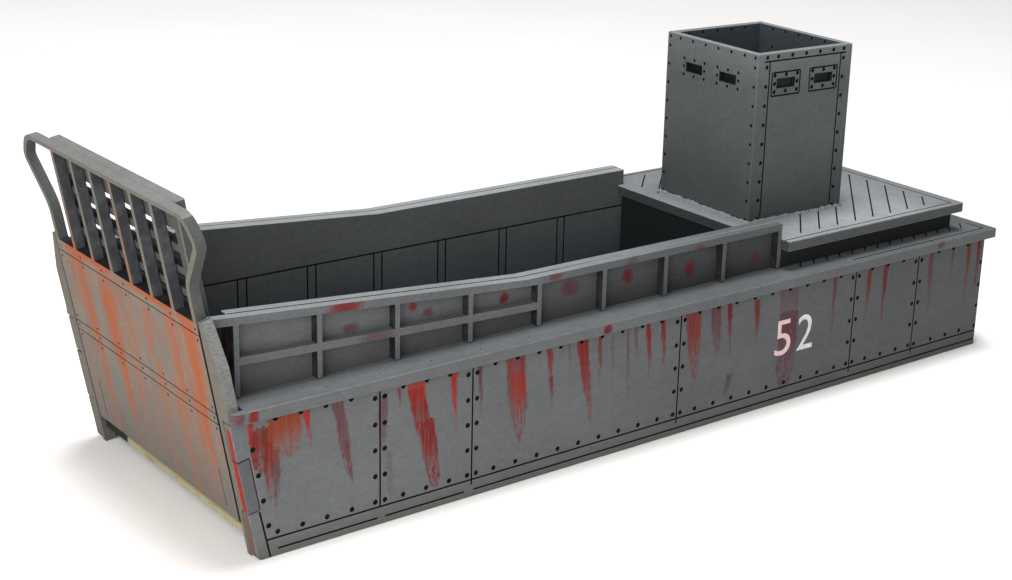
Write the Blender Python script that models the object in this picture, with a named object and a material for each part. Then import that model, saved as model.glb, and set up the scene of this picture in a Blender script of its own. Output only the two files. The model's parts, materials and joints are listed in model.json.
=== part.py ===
# Military landing craft: a wargame model cut from sheet board, with a ramp that swings at the bow.
# Metres, +Z up, +X to the bow and +Y to port; it stands on the ground at the middle of its box.
# Sizes along X are measured from the stern edge of the hull sides, sizes along Z from the ground.

import math

import bmesh
import bpy
from mathutils import Vector

MM = 0.001

# Boards and clearances
SHEET = 3.0 * MM
THIN_SHEET = 2.0 * MM
LATTICE_SHEET = 2.5 * MM
RAMP_SHEET = 2.5 * MM
GLUE_GAP = 0.3 * MM
RAMP_CLEARANCE = 0.6 * MM

# Hull sides, transom and floor
HULL_BEAM = 87.0 * MM
SIDE_HEIGHT = 35.3 * MM
FLOOR_UNDERSIDE = 4.5 * MM
BOW_FOOT_X = 255.76 * MM
BOW_RAKE = math.radians(10.15)
BOW_FOOT_RADIUS = 1.6 * MM

# Main deck
DECK_SIDE_OVERHANG = 2.1 * MM
DECK_STERN_OVERHANG = 2.4 * MM
DECK_CORNER_RADIUS = 1.7 * MM

# Well walls and the lattice outside them
WALL_INSET = 8.75 * MM
WELL_AFT_X = 84.7 * MM
WALL_PAST_BOW_FOOT = 1.54 * MM
WALL_AFT_HEIGHT = 52.0 * MM
SHEER_LENGTH = 82.3 * MM
SHEER_SLOPE = 0.0764
BAYS = 8
RAILED_BAYS = 4
UPRIGHT_WIDTH = 1.4 * MM
TOP_RAIL_HEIGHT = 2.0 * MM
MID_RAIL_HEIGHT = 1.9 * MM

# Engine block and upper deck
ENGINE_WALL_HEIGHT = 5.2 * MM
ENGINE_SIDE_SETBACK = 3.3 * MM
ENGINE_STERN_SETBACK = 1.3 * MM
UPPER_DECK_STERN_X = 8.8 * MM
UPPER_DECK_INSET = 2.9 * MM
UPPER_DECK_LIP = 2.8 * MM
BULKHEAD_SETBACK = 1.8 * MM

# Tower, turned a little as it was glued
TOWER_SETBACK = 6.7 * MM
TOWER_MIDDLE_Y = 1.0 * MM
TOWER_TURN = math.radians(-1.84)
TOWER_LENGTH = 37.4 * MM
TOWER_BREADTH = 40.1 * MM
TOWER_HEIGHT = 49.3 * MM
SLIT_WIDTH = 6.9 * MM
SLIT_HEIGHT = 2.4 * MM
SLIT_OFFSET = 7.45 * MM
SLIT_BELOW_RIM = 9.1 * MM

# Bow posts, drawn up the raked plane of the bow
POST_FOOT_WIDTH = 1.6 * MM
POST_TOP_Z = 59.5 * MM
POST_TOP_WIDTH = 1.3 * MM
POST_SHOULDER_INSET = 0.1 * MM
POST_TAPER_Z = 48.7 * MM
TAB_LOW_Z = 12.4 * MM
TAB_HIGH_Z = 25.5 * MM

# Ramp, drawn up its own front face from its bottom edge
RAMP_BELOW_FLOOR = 0.12 * MM
RAMP_SIDE_CLEARANCE = 0.9 * MM
RAMP_PANEL_HEIGHT = 52.0 * MM
RAMP_HEIGHT = 79.0 * MM
TOP_BAR_HEIGHT = 1.15 * MM
EAR_ABOVE_PANEL = 8.9 * MM
EAR_REACH = 8.95 * MM
EAR_TIP_BELOW_TOP = 6.6 * MM
EAR_TOP_REACH = 5.0 * MM
EAR_BEND_RADIUS = 8.0 * MM
EAR_TIP_RADIUS = 3.0 * MM
EAR_TOP_RADIUS = 6.0 * MM
EAR_BAND = 1.6 * MM
FIN_COUNT = 6
FIN_PITCH = 10.6 * MM
FIN_WIDTH = 1.5 * MM
GRILLE_PLATE_LAP = 8.0 * MM
GRILLE_PLATE_INSET = 4.4 * MM
SLOT_ROWS = 4
SLOT_HEIGHT = 3.2 * MM
LOWEST_SLOT_ABOVE_PANEL = 1.25 * MM
HIGHEST_SLOT_BELOW_TOP = 9.25 * MM
SLOT_END_MARGIN = 3.0 * MM

# Hinge of the ramp: two wire pins in the middle of its board
HINGE_HEIGHT = 1.6 * MM
RAMP_EDGE_RADIUS = 1.2 * MM
PIN_RADIUS = 0.5 * MM
PIN_DEPTH = 6.0 * MM
FLOOR_BEHIND_HINGE = 1.8 * MM

# Paint: colour, roughness
GREY_BLUE = ((0.145, 0.17, 0.195), 0.62)
DARK_BLUE = ((0.055, 0.07, 0.085), 0.7)
BARE_BOARD = ((0.42, 0.29, 0.14), 0.8)
RUSTY = ((0.42, 0.16, 0.08), 0.7)
WIRE = ((0.45, 0.44, 0.42), 0.35)

# Which way a drawn outline faces: its own two directions, then the way its board thickens
FLAT = (0.0, 0.0, 0.0)
LENGTHWISE = (math.pi / 2, 0.0, 0.0)
CROSSWISE = (math.pi / 2, 0.0, math.pi / 2)

# Worked out from the sizes above
half_beam = HULL_BEAM / 2
side_inner_y = half_beam - SHEET
inside_y = side_inner_y - GLUE_GAP
floor_top = FLOOR_UNDERSIDE + SHEET
deck_underside = SIDE_HEIGHT + GLUE_GAP
deck_top = deck_underside + SHEET
on_deck = deck_top + GLUE_GAP
upper_deck_underside = on_deck + ENGINE_WALL_HEIGHT + GLUE_GAP
upper_deck_top = upper_deck_underside + SHEET
wall_outer_y = half_beam - WALL_INSET
wall_inner_y = wall_outer_y - SHEET
lattice_inner_y = wall_outer_y + GLUE_GAP
between_walls_y = wall_inner_y - GLUE_GAP
wall_front_x = BOW_FOOT_X + WALL_PAST_BOW_FOOT
sheer_start_x = wall_front_x - SHEER_LENGTH
upper_deck_front_x = WELL_AFT_X + UPPER_DECK_LIP
upper_deck_y = half_beam - UPPER_DECK_INSET
bulkhead_aft_x = upper_deck_front_x - BULKHEAD_SETBACK - SHEET
tower_middle_x = upper_deck_front_x - TOWER_SETBACK - TOWER_LENGTH / 2
post_inner_y = inside_y - POST_FOOT_WIDTH
post_shoulder_y = half_beam - POST_SHOULDER_INSET
ramp_bottom_z = floor_top - RAMP_BELOW_FLOOR
ramp_side_y = post_inner_y - RAMP_SIDE_CLEARANCE
bore_radius = PIN_RADIUS + GLUE_GAP
SIDES = (("port", 1), ("starboard", -1))


def front_x(z):
    # Where the raked front plane of the bow lies at a height above the ground
    return BOW_FOOT_X + z * math.tan(BOW_RAKE)


def up_bow(z):
    # Distance up the front plane, from the ramp's bottom edge to a height above the ground
    return (z - ramp_bottom_z) / math.cos(BOW_RAKE)


def bow_point(depth, height):
    # X and Z of a place so far behind the front plane and so far up it
    x = front_x(ramp_bottom_z) + height * math.sin(BOW_RAKE) - depth * math.cos(BOW_RAKE)
    z = ramp_bottom_z + height * math.cos(BOW_RAKE) + depth * math.sin(BOW_RAKE)
    return (x, z)


def behind_bow_x(depth, z):
    # X at a height above the ground, so far behind the front plane
    return front_x(z) - depth / math.cos(BOW_RAKE)


def wall_top(x):
    # The bulwark's top is level, then rises towards the bow
    return WALL_AFT_HEIGHT + SHEER_SLOPE * max(0.0, x - sheer_start_x)


def round_corners(points, radii, steps=6):
    # Replaces a corner by an arc wherever its radius isn't zero
    outline = []
    for index, radius in enumerate(radii):
        corner = Vector(points[index])
        if radius == 0:
            outline.append(tuple(corner))
            continue
        to_last = (Vector(points[index - 1]) - corner).normalized()
        to_next = (Vector(points[(index + 1) % len(points)]) - corner).normalized()
        half_angle = to_last.angle(to_next) / 2
        middle = corner + (to_last + to_next).normalized() * radius / math.sin(half_angle)
        start = corner + to_last * radius / math.tan(half_angle) - middle
        end = corner + to_next * radius / math.tan(half_angle) - middle
        for step in range(steps + 1):
            turned = start.normalized().slerp(end.normalized(), step / steps)
            outline.append(tuple(middle + turned * radius))
    return outline


def offset_line(points, distances):
    # Moves each stretch of an open line to its left and joins the stretches again
    moved = []
    for start, end, distance in zip(points, points[1:], distances):
        along = (Vector(end) - Vector(start)).normalized()
        aside = Vector((-along.y, along.x)) * distance
        moved.append((Vector(start) + aside, along))
    joined = []
    for (first, along_first), (second, along_second) in zip(moved, moved[1:]):
        apart = second - first
        reach = apart.cross(along_second) / along_first.cross(along_second)
        joined.append(tuple(first + along_first * reach))
    return joined


def rectangle(left, right, low, high):
    return [(left, low), (right, low), (right, high), (left, high)]


def mirrored(points, side):
    return [(x * side, y) for x, y in points]


def add_empty(name, parent, location, rotation=FLAT):
    empty = bpy.data.objects.new(name, None)
    empty.parent = parent
    empty.location = location
    empty.rotation_euler = rotation
    bpy.context.collection.objects.link(empty)
    return empty


def add_object(name, shape, paint, parent, location, rotation):
    mesh = bpy.data.meshes.new(name)
    bmesh.ops.recalc_face_normals(shape, faces=shape.faces)
    shape.to_mesh(mesh)
    shape.free()
    colour, roughness = paint
    material = bpy.data.materials.new(name)
    material.use_nodes = True
    shader = material.node_tree.nodes["Principled BSDF"]
    shader.inputs["Base Color"].default_value = (*colour, 1.0)
    shader.inputs["Roughness"].default_value = roughness
    shader.inputs["Metallic"].default_value = 1.0 if paint is WIRE else 0.0
    mesh.materials.append(material)
    part = bpy.data.objects.new(name, mesh)
    part.parent = parent
    part.location = location
    part.rotation_euler = rotation
    bpy.context.collection.objects.link(part)
    return part


def board(loops, thickness):
    # A board cut to its first loop, with a hole for each loop after that
    shape = bmesh.new()
    for loop in loops:
        corners = [shape.verts.new((x, y, 0.0)) for x, y in loop]
        for index, corner in enumerate(corners):
            shape.edges.new((corners[index - 1], corner))
    bmesh.ops.triangle_fill(shape, edges=shape.edges[:], use_beauty=True)
    raised = bmesh.ops.extrude_face_region(shape, geom=shape.faces[:])["geom"]
    top = [item for item in raised if isinstance(item, bmesh.types.BMVert)]
    bmesh.ops.translate(shape, verts=top, vec=(0.0, 0.0, thickness))
    return shape


def add_board(name, loops, thickness, paint, parent, location=FLAT, rotation=FLAT):
    return add_object(name, board(loops, thickness), paint, parent, location, rotation)


def rod(radius, length, segments):
    shape = bmesh.new()
    bmesh.ops.create_cone(shape, cap_ends=True, segments=segments,
                          radius1=radius, radius2=radius, depth=length)
    return shape


def cut_with(part, cutter):
    cut = part.modifiers.new("Bore", "BOOLEAN")
    cut.operation = "DIFFERENCE"
    cut.solver = "EXACT"
    cut.object = cutter


def hull_side_outline():
    tab_low = up_bow(TAB_LOW_Z) - GLUE_GAP
    tab_high = up_bow(TAB_HIGH_Z) + GLUE_GAP
    notch_depth = SHEET + GLUE_GAP
    corners = [
        (0.0, 0.0),
        (front_x(0.0), 0.0),
        bow_point(0.0, tab_low),
        bow_point(notch_depth, tab_low),
        bow_point(notch_depth, tab_high),
        bow_point(0.0, tab_high),
        (front_x(SIDE_HEIGHT), SIDE_HEIGHT),
        (0.0, SIDE_HEIGHT),
    ]
    return round_corners(corners, [0, BOW_FOOT_RADIUS] + [0] * 6)


def add_hull(craft):
    for name, side in SIDES:
        outer_y = half_beam if side > 0 else -side_inner_y
        add_board(f"hull_side_{name}", [hull_side_outline()], SHEET, GREY_BLUE, craft,
                  (0.0, outer_y, 0.0), LENGTHWISE)

    transom = rectangle(-inside_y, inside_y, 0.0, SIDE_HEIGHT)
    add_board("transom", [transom], SHEET, GREY_BLUE, craft, FLAT, CROSSWISE)

    hinge_x = bow_point(RAMP_SHEET / 2, HINGE_HEIGHT)[0]
    front = hinge_x - FLOOR_BEHIND_HINGE
    behind_posts = behind_bow_x(SHEET + GLUE_GAP, FLOOR_UNDERSIDE)
    between_posts = post_inner_y - GLUE_GAP
    floor = [
        (SHEET + GLUE_GAP, -inside_y),
        (behind_posts, -inside_y),
        (behind_posts, -between_posts),
        (front, -between_posts),
        (front, between_posts),
        (behind_posts, between_posts),
        (behind_posts, inside_y),
        (SHEET + GLUE_GAP, inside_y),
    ]
    add_board("well_floor", [floor], SHEET, BARE_BOARD, craft, (0.0, 0.0, FLOOR_UNDERSIDE))


def add_main_deck(craft):
    edge_y = half_beam + DECK_SIDE_OVERHANG
    front = front_x(deck_underside)
    behind_posts = behind_bow_x(SHEET + RAMP_CLEARANCE, deck_underside)
    post_y = post_shoulder_y + GLUE_GAP
    opening_y = wall_outer_y + GLUE_GAP
    opening_aft = WELL_AFT_X - GLUE_GAP
    bulkhead_slot = bulkhead_aft_x - GLUE_GAP
    half = [
        (-DECK_STERN_OVERHANG, edge_y),
        (front, edge_y),
        (front, post_y),
        (behind_posts, post_y),
        (behind_posts, opening_y),
        (opening_aft, opening_y),
        (opening_aft, wall_inner_y),
        (bulkhead_slot, wall_inner_y),
    ]
    other_half = [(x, -y) for x, y in reversed(half)]
    radii = [0] * len(half)
    radii[1] = DECK_CORNER_RADIUS
    outline = round_corners(half + other_half, radii + radii[::-1])
    add_board("main_deck", [outline], SHEET, GREY_BLUE, craft, (0.0, 0.0, deck_underside))


def well_wall_outline():
    foot = floor_top + GLUE_GAP
    ramp_room = RAMP_SHEET + RAMP_CLEARANCE
    foot_front = behind_bow_x(ramp_room, foot)
    upright_from = foot + (wall_front_x - foot_front) / math.tan(BOW_RAKE)
    return [
        (WELL_AFT_X, foot),
        (foot_front, foot),
        (wall_front_x, upright_from),
        (wall_front_x, wall_top(wall_front_x)),
        (sheer_start_x, WALL_AFT_HEIGHT),
        (WELL_AFT_X, WALL_AFT_HEIGHT),
    ]


def lattice_loops():
    # Uprights like a comb under the top rail; the forward bays have a middle rail as well
    pitch = (wall_front_x - WELL_AFT_X - UPRIGHT_WIDTH) / BAYS

    def under_top_rail(x):
        return wall_top(x) - TOP_RAIL_HEIGHT

    def mid_rail(x):
        return (under_top_rail(x) + deck_top) / 2

    outline = [(WELL_AFT_X, on_deck)]
    windows = []
    for bay in range(BAYS):
        aft = WELL_AFT_X + bay * pitch + UPRIGHT_WIDTH
        fore = aft + pitch - UPRIGHT_WIDTH
        railed = bay >= BAYS - RAILED_BAYS
        if railed:
            windows.append([
                (aft, mid_rail(aft) + MID_RAIL_HEIGHT / 2),
                (fore, mid_rail(fore) + MID_RAIL_HEIGHT / 2),
                (fore, under_top_rail(fore)),
                (aft, under_top_rail(aft)),
            ])
            gap_top = [(x, mid_rail(x) - MID_RAIL_HEIGHT / 2) for x in (aft, fore)]
        else:
            gap_top = [(x, under_top_rail(x)) for x in (aft, fore)]
            if aft < sheer_start_x < fore:
                gap_top.insert(1, (sheer_start_x, under_top_rail(sheer_start_x)))
        outline += [(aft, on_deck), *gap_top, (fore, on_deck)]
    ramp_room = RAMP_SHEET + RAMP_CLEARANCE
    rail_end = behind_bow_x(ramp_room, under_top_rail(wall_front_x))
    outline += [
        (wall_front_x, on_deck),
        (wall_front_x, under_top_rail(wall_front_x)),
        (rail_end, under_top_rail(rail_end)),
        (rail_end, wall_top(rail_end)),
        (sheer_start_x, WALL_AFT_HEIGHT),
        (WELL_AFT_X, WALL_AFT_HEIGHT),
    ]
    return [outline, *windows]


def add_bulwarks(craft):
    lattice_outer_y = lattice_inner_y + LATTICE_SHEET
    for name, side in SIDES:
        wall_y = wall_outer_y if side > 0 else -wall_inner_y
        lattice_y = lattice_outer_y if side > 0 else -lattice_inner_y
        add_board(f"well_wall_{name}", [well_wall_outline()], SHEET, DARK_BLUE, craft,
                  (0.0, wall_y, 0.0), LENGTHWISE)
        add_board(f"bulwark_lattice_{name}", lattice_loops(), LATTICE_SHEET, GREY_BLUE, craft,
                  (0.0, lattice_y, 0.0), LENGTHWISE)


def add_engine_block(craft):
    wall_y = upper_deck_y - ENGINE_SIDE_SETBACK
    side_aft = UPPER_DECK_STERN_X + ENGINE_STERN_SETBACK
    side_front = WELL_AFT_X - GLUE_GAP
    wall_z = (on_deck, on_deck + ENGINE_WALL_HEIGHT)
    for name, side in SIDES:
        outer_y = wall_y if side > 0 else -wall_y + SHEET
        add_board(f"engine_wall_{name}", [rectangle(side_aft, side_front, *wall_z)], SHEET,
                  DARK_BLUE, craft, (0.0, outer_y, 0.0), LENGTHWISE)
    between = wall_y - SHEET - GLUE_GAP
    add_board("engine_wall_stern", [rectangle(-between, between, *wall_z)], SHEET,
              DARK_BLUE, craft, (side_aft, 0.0, 0.0), CROSSWISE)

    bulkhead_z = (floor_top + GLUE_GAP, upper_deck_underside - GLUE_GAP)
    add_board("aft_bulkhead", [rectangle(-between_walls_y, between_walls_y, *bulkhead_z)],
              SHEET, DARK_BLUE, craft, (bulkhead_aft_x, 0.0, 0.0), CROSSWISE)

    outboard_front = WELL_AFT_X - GLUE_GAP
    half = [
        (UPPER_DECK_STERN_X, upper_deck_y),
        (outboard_front, upper_deck_y),
        (outboard_front, between_walls_y),
        (upper_deck_front_x, between_walls_y),
    ]
    outline = half + [(x, -y) for x, y in reversed(half)]
    add_board("upper_deck", [outline], SHEET, GREY_BLUE, craft,
              (0.0, 0.0, upper_deck_underside))


def add_tower(craft):
    middle = add_empty("tower_middle", craft,
                       (tower_middle_x, TOWER_MIDDLE_Y, upper_deck_top + GLUE_GAP),
                       (0.0, 0.0, TOWER_TURN))
    slit_top = TOWER_HEIGHT - SLIT_BELOW_RIM + SLIT_HEIGHT / 2
    slit_low = slit_top - SLIT_HEIGHT
    slits = [
        rectangle(centre - SLIT_WIDTH / 2, centre + SLIT_WIDTH / 2, slit_low, slit_top)
        for centre in (-SLIT_OFFSET, SLIT_OFFSET)
    ]
    half_breadth = TOWER_BREADTH / 2
    half_length = TOWER_LENGTH / 2
    between = half_length - THIN_SHEET - GLUE_GAP
    cross_wall = rectangle(-half_breadth, half_breadth, 0.0, TOWER_HEIGHT)
    side_wall = rectangle(-between, between, 0.0, TOWER_HEIGHT)
    # Columns: name, outline, how it faces, where its outline lies
    walls = [
        ("bow", cross_wall, CROSSWISE, (half_length - THIN_SHEET, 0.0, 0.0)),
        ("stern", cross_wall, CROSSWISE, (-half_length, 0.0, 0.0)),
        ("port", side_wall, LENGTHWISE, (0.0, half_breadth, 0.0)),
        ("starboard", side_wall, LENGTHWISE, (0.0, -half_breadth + THIN_SHEET, 0.0)),
    ]
    for name, outline, facing, place in walls:
        add_board(f"tower_wall_{name}", [outline, *slits], THIN_SHEET, GREY_BLUE, middle,
                  place, facing)


def add_bow_posts(bow_plane, bores):
    corners = [
        (post_inner_y, up_bow(0.0)),
        (inside_y, up_bow(0.0)),
        (inside_y, up_bow(TAB_LOW_Z)),
        (half_beam, up_bow(TAB_LOW_Z)),
        (half_beam, up_bow(TAB_HIGH_Z)),
        (inside_y, up_bow(TAB_HIGH_Z)),
        (inside_y, up_bow(deck_underside)),
        (post_shoulder_y, up_bow(deck_underside)),
        (post_shoulder_y, up_bow(POST_TAPER_Z)),
        (post_inner_y + POST_TOP_WIDTH, up_bow(POST_TOP_Z)),
        (post_inner_y, up_bow(POST_TOP_Z)),
    ]
    for name, side in SIDES:
        post = add_board(f"bow_post_{name}", [mirrored(corners, side)], SHEET, GREY_BLUE,
                         bow_plane, (-SHEET, 0.0, 0.0), CROSSWISE)
        cut_with(post, bores[name])


def ramp_half_edge():
    # Port edge of the ramp, from its bottom corner up round the ear to the top bar
    return [
        (ramp_side_y, 0.0),
        (ramp_side_y, RAMP_PANEL_HEIGHT + EAR_ABOVE_PANEL),
        (ramp_side_y + EAR_REACH, RAMP_HEIGHT - EAR_TIP_BELOW_TOP),
        (ramp_side_y + EAR_TOP_REACH, RAMP_HEIGHT),
        (0.0, RAMP_HEIGHT),
    ]


def ramp_loops():
    edge = ramp_half_edge()
    corners = edge[:4] + [(-y, height) for y, height in reversed(edge[:4])]
    radii = [0, EAR_BEND_RADIUS, EAR_TIP_RADIUS, EAR_TOP_RADIUS]
    outline = round_corners(corners, radii + radii[::-1])

    window_top = RAMP_HEIGHT - TOP_BAR_HEIGHT
    inner_line = offset_line(edge, [EAR_BAND, EAR_BAND, EAR_BAND, TOP_BAR_HEIGHT])
    fin_places = [(index - (FIN_COUNT - 1) / 2) * FIN_PITCH for index in range(FIN_COUNT)]
    outer_fin_face = fin_places[-1] + FIN_WIDTH / 2
    ear_hole = [
        (outer_fin_face, RAMP_PANEL_HEIGHT),
        (ramp_side_y - EAR_BAND, RAMP_PANEL_HEIGHT),
        *inner_line,
        (outer_fin_face, window_top),
    ]
    hole_radii = [EAR_BEND_RADIUS + EAR_BAND, EAR_TIP_RADIUS - EAR_BAND, EAR_TOP_RADIUS - EAR_BAND]
    ear_hole = round_corners(ear_hole, [0, 0, *hole_radii, 0])
    loops = [outline, ear_hole, mirrored(ear_hole, -1)]
    for left_fin, right_fin in zip(fin_places, fin_places[1:]):
        loops.append(rectangle(left_fin + FIN_WIDTH / 2, right_fin - FIN_WIDTH / 2,
                               RAMP_PANEL_HEIGHT, window_top))
    return loops


def round_bottom_edge(shape):
    low = min(vert.co.y for vert in shape.verts)
    edges = []
    for edge in shape.edges:
        start, end = (vert.co for vert in edge.verts)
        lies_low = abs(start.y - low) < GLUE_GAP and abs(end.y - low) < GLUE_GAP
        runs_across = abs(start.x - end.x) > ramp_side_y and start.z == end.z
        if lies_low and runs_across:
            edges.append(edge)
    bmesh.ops.bevel(shape, geom=edges, offset=RAMP_EDGE_RADIUS, segments=5, profile=0.5,
                    affect="EDGES")


def add_ramp(hinge, bores):
    # Everything here hangs on the hinge axis, so it is drawn from there
    below_axis = -HINGE_HEIGHT
    front_to_axis = RAMP_SHEET / 2
    shape = board(ramp_loops(), RAMP_SHEET)
    round_bottom_edge(shape)
    panel = add_object("ramp_panel", shape, RUSTY, hinge,
                       (-front_to_axis, 0.0, below_axis), CROSSWISE)
    for cutter in bores.values():
        cut_with(panel, cutter)

    plate_y = ramp_side_y - GRILLE_PLATE_INSET
    plate = [rectangle(-plate_y, plate_y, RAMP_PANEL_HEIGHT - GRILLE_PLATE_LAP, RAMP_HEIGHT)]
    slot_end = plate_y - SLOT_END_MARGIN
    lowest_slot = RAMP_PANEL_HEIGHT + LOWEST_SLOT_ABOVE_PANEL
    slot_pitch = (RAMP_HEIGHT - HIGHEST_SLOT_BELOW_TOP - lowest_slot) / (SLOT_ROWS - 1)
    for row in range(SLOT_ROWS):
        middle = lowest_slot + row * slot_pitch
        plate.append(rectangle(-slot_end, slot_end, middle - SLOT_HEIGHT / 2,
                               middle + SLOT_HEIGHT / 2))
    plate_back = -front_to_axis - GLUE_GAP - RAMP_SHEET
    add_board("ramp_grille_plate", plate, RAMP_SHEET, GREY_BLUE, hinge,
              (plate_back, 0.0, below_axis), CROSSWISE)

    pin_inner_y = ramp_side_y - PIN_DEPTH + GLUE_GAP
    pin_length = inside_y - pin_inner_y
    for name, side in SIDES:
        pin = add_object(f"ramp_pin_{name}", rod(PIN_RADIUS, pin_length, 16), WIRE, hinge,
                         (0.0, side * (pin_inner_y + pin_length / 2), 0.0), LENGTHWISE)
        pin.data.shade_smooth()
        pin.data.set_sharp_from_angle(angle=math.radians(40))


def add_bores(hinge):
    # Cutters for the pins' bores, through the posts and into the ramp's corners
    inner_y = ramp_side_y - PIN_DEPTH
    length = half_beam - inner_y
    bores = {}
    for name, side in SIDES:
        bore = add_object(f"bore_{name}", rod(bore_radius, length, 24), WIRE, hinge,
                          (0.0, side * (inner_y + length / 2), 0.0), LENGTHWISE)
        bore.hide_render = True
        bore.display_type = "WIRE"
        bores[name] = bore
    return bores


def clear_scene():
    for item in list(bpy.data.objects):
        bpy.data.objects.remove(item, do_unlink=True)


def main():
    clear_scene()
    bow_end = bow_point(0.0, RAMP_HEIGHT)[0]
    box_middle = (bow_end - DECK_STERN_OVERHANG) / 2
    craft = add_empty("craft", None, (-box_middle, 0.0, 0.0))
    bow_plane = add_empty("bow_plane", craft, (front_x(ramp_bottom_z), 0.0, ramp_bottom_z),
                          (0.0, BOW_RAKE, 0.0))
    hinge = add_empty("ramp_hinge", bow_plane, (-RAMP_SHEET / 2, 0.0, HINGE_HEIGHT))
    bores = add_bores(hinge)

    add_hull(craft)
    add_main_deck(craft)
    add_bulwarks(craft)
    add_engine_block(craft)
    add_tower(craft)
    add_bow_posts(bow_plane, bores)
    add_ramp(hinge, bores)


main()
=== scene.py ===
# Landing craft model: painted laser-cut board, engraved lines, rivet pits and rust streaks
import json
import math
import random
from types import SimpleNamespace

import bpy
from mathutils import Matrix, Vector

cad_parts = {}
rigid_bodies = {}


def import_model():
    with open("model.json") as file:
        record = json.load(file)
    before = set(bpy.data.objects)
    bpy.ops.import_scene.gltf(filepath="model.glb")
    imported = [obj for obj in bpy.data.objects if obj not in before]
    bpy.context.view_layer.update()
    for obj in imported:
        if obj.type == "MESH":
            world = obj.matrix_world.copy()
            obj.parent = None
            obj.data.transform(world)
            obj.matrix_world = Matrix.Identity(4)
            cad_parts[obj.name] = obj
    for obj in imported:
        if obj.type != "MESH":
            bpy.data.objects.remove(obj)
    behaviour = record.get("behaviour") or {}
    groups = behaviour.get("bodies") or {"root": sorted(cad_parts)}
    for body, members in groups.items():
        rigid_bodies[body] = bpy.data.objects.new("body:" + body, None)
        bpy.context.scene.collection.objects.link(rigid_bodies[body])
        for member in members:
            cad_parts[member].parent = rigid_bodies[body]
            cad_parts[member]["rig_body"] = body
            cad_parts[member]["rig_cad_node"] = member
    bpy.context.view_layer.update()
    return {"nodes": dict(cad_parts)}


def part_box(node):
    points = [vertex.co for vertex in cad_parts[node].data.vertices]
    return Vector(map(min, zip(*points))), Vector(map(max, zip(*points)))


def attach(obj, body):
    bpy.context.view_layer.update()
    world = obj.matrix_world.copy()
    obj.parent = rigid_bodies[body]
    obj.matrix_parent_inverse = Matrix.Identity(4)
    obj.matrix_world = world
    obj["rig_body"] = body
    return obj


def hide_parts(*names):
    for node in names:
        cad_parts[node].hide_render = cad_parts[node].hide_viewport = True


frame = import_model()

mm = 0.001
# lengths below are millimetres, and x counts from the stern end of the hull sides
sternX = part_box("hull_side_port")[0].x / mm
bowRake = math.radians(10.15)
rampFoot = (257.081, 7.38)  # x and z of the ramp's bottom edge
towerMiddle = Vector((62.1, 1, 0))
towerTurn = Matrix.Rotation(math.radians(-1.84), 3, "Z")


# Tools for objects


def pickOnly(*objects):
    if bpy.context.mode != "OBJECT":
        bpy.ops.object.mode_set(mode="OBJECT")
    bpy.ops.object.select_all(action="DESELECT")
    for thing in objects:
        thing.select_set(True)
    bpy.context.view_layer.objects.active = objects[0]


def copyOf(thing, name):
    twin = thing.copy()
    twin.data = thing.data.copy()
    twin.name = name
    bpy.context.scene.collection.objects.link(twin)
    return twin


def joined(things, name):
    pickOnly(*things)
    if len(things) > 1:
        bpy.ops.object.join()
    bpy.ops.object.transform_apply()
    whole = bpy.context.view_layer.objects.active
    whole.name = name
    return whole


def applied(thing, kind, **settings):
    modifier = thing.modifiers.new(kind.title(), kind)
    for name, value in settings.items():
        setattr(modifier, name, value)
    pickOnly(thing)
    bpy.ops.object.modifier_apply(modifier=modifier.name)


def at(x, y, z):
    return Vector(((x + sternX) * mm, y * mm, z * mm))


def setMaterials(thing, *materials):
    thing.data.materials.clear()
    for material in materials:
        thing.data.materials.append(material)


def faceAt(origin, across, outward):
    # a drawing plane on a board: across, up and outward, in millimetres
    across = Vector(across).normalized()
    outward = Vector(outward).normalized()
    up = outward.cross(across)
    turn = Matrix((across, up, outward)).transposed().to_4x4()
    return Matrix.Translation(at(*origin)) @ turn @ Matrix.Scale(mm, 4)


# Shader maths


class Wire:
    # one output of a shader node, so that a mask is written as a plain expression
    def __init__(self, shader, socket):
        self.shader = shader
        self.socket = socket

    def maths(self, operation, *others):
        values = dict(enumerate((self, *others)))
        return self.shader.add("ShaderNodeMath", {"operation": operation}, values)

    def __add__(self, other):
        return self.maths("ADD", other)

    __radd__ = __add__

    def __sub__(self, other):
        return self.maths("SUBTRACT", other)

    def __rsub__(self, other):
        return self.shader.add("ShaderNodeMath", {"operation": "SUBTRACT"}, {0: other, 1: self})

    def __mul__(self, other):
        return self.maths("MULTIPLY", other)

    __rmul__ = __mul__

    def __abs__(self):
        return self.maths("ABSOLUTE")

    def __pow__(self, other):
        return self.maths("POWER", other)

    def above(self, other):
        return self.maths("GREATER_THAN", other)

    def orMore(self, other):
        return self.maths("MAXIMUM", other)

    def orLess(self, other):
        return self.maths("MINIMUM", other)

    def ease(self, low, high, start=0, end=1, how="SMOOTHSTEP"):
        values = {"Value": self, "From Min": low, "From Max": high, "To Min": start, "To Max": end}
        return self.shader.add("ShaderNodeMapRange", {"interpolation_type": how}, values)

    def between(self, low, high, soft):
        return self.ease(low - soft, low + soft) * self.ease(high + soft, high - soft)


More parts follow.
